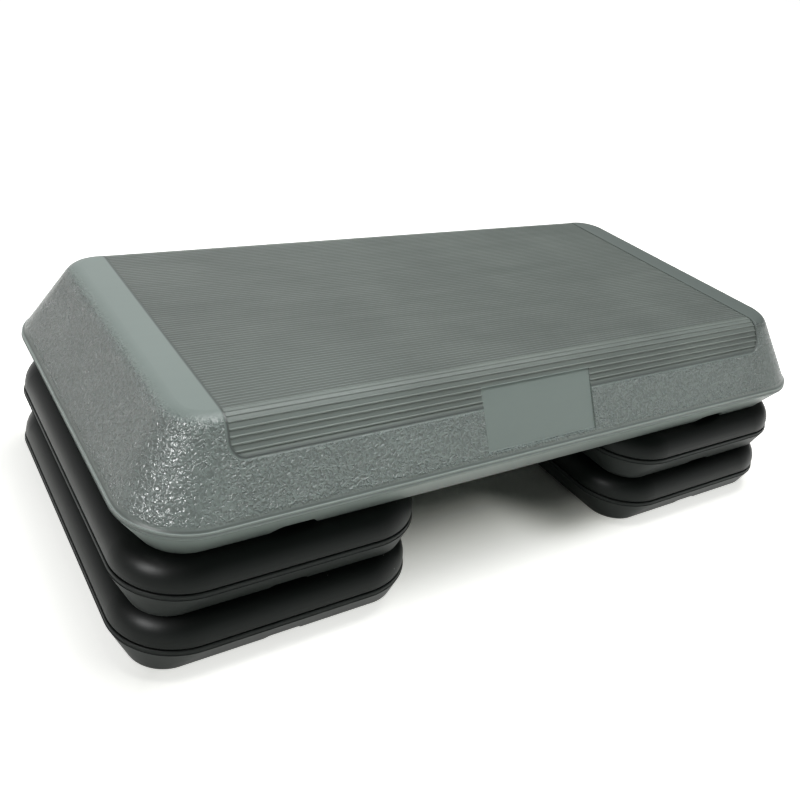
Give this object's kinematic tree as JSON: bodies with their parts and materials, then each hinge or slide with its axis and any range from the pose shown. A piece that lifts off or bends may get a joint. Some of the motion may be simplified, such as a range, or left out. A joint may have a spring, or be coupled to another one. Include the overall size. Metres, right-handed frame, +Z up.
{
  "type": "aerobic step platform",
  "caption": "Low exercise step: a hollow moulded deck with a ridged tread, standing on stacked moulded risers that lock into it by plug and socket and lift off.",
  "frame": {"origin": "centre of the footprint, on the floor", "axes": "+X along the deck, +Y across it to the back, away from the bare plate, +Z up"},
  "size_m": [0.724, 0.368, 0.2032],
  "materials": {
    "platform_plastic": "satin, pebble grain on the slopes, ridges on the deck",
    "riser_plastic": "satin above the seam, duller below it",
    "foot_rubber": "matt"
  },
  "bodies": {
    "platform": {"platform_shell": "platform_plastic", "platform_foot_left_front": "foot_rubber", "platform_foot_left_back": "foot_rubber", "platform_foot_right_front": "foot_rubber", "platform_foot_right_back": "foot_rubber"},
    "lower_riser_left": {"riser_left_lower": "riser_plastic", "left_lower_foot_outer_front": "foot_rubber", "left_lower_foot_outer_back": "foot_rubber", "left_lower_foot_inner_front": "foot_rubber", "left_lower_foot_inner_back": "foot_rubber"},
    "upper_riser_left": {"riser_left_upper": "riser_plastic", "left_upper_foot_outer_front": "foot_rubber", "left_upper_foot_outer_back": "foot_rubber", "left_upper_foot_inner_front": "foot_rubber", "left_upper_foot_inner_back": "foot_rubber"},
    "lower_riser_right": {"riser_right_lower": "riser_plastic", "right_lower_foot_inner_front": "foot_rubber", "right_lower_foot_inner_back": "foot_rubber", "right_lower_foot_outer_front": "foot_rubber", "right_lower_foot_outer_back": "foot_rubber"},
    "upper_riser_right": {"riser_right_upper": "riser_plastic", "right_upper_foot_inner_front": "foot_rubber", "right_upper_foot_inner_back": "foot_rubber", "right_upper_foot_outer_front": "foot_rubber", "right_upper_foot_outer_back": "foot_rubber"}
  },
  "joints": [
    {"name": "upper_riser_left_lift_off", "type": "slide", "parent": "platform", "child": "upper_riser_left", "axis": [0, 0, -1], "range_m": [0, 0.1]},
    {"name": "lower_riser_left_lift_off", "type": "slide", "parent": "upper_riser_left", "child": "lower_riser_left", "axis": [0, 0, -1], "range_m": [0, 0.1]},
    {"name": "upper_riser_right_lift_off", "type": "slide", "parent": "platform", "child": "upper_riser_right", "axis": [0, 0, -1], "range_m": [0, 0.1]},
    {"name": "lower_riser_right_lift_off", "type": "slide", "parent": "upper_riser_right", "child": "lower_riser_right", "axis": [0, 0, -1], "range_m": [0, 0.1]}
  ]
}
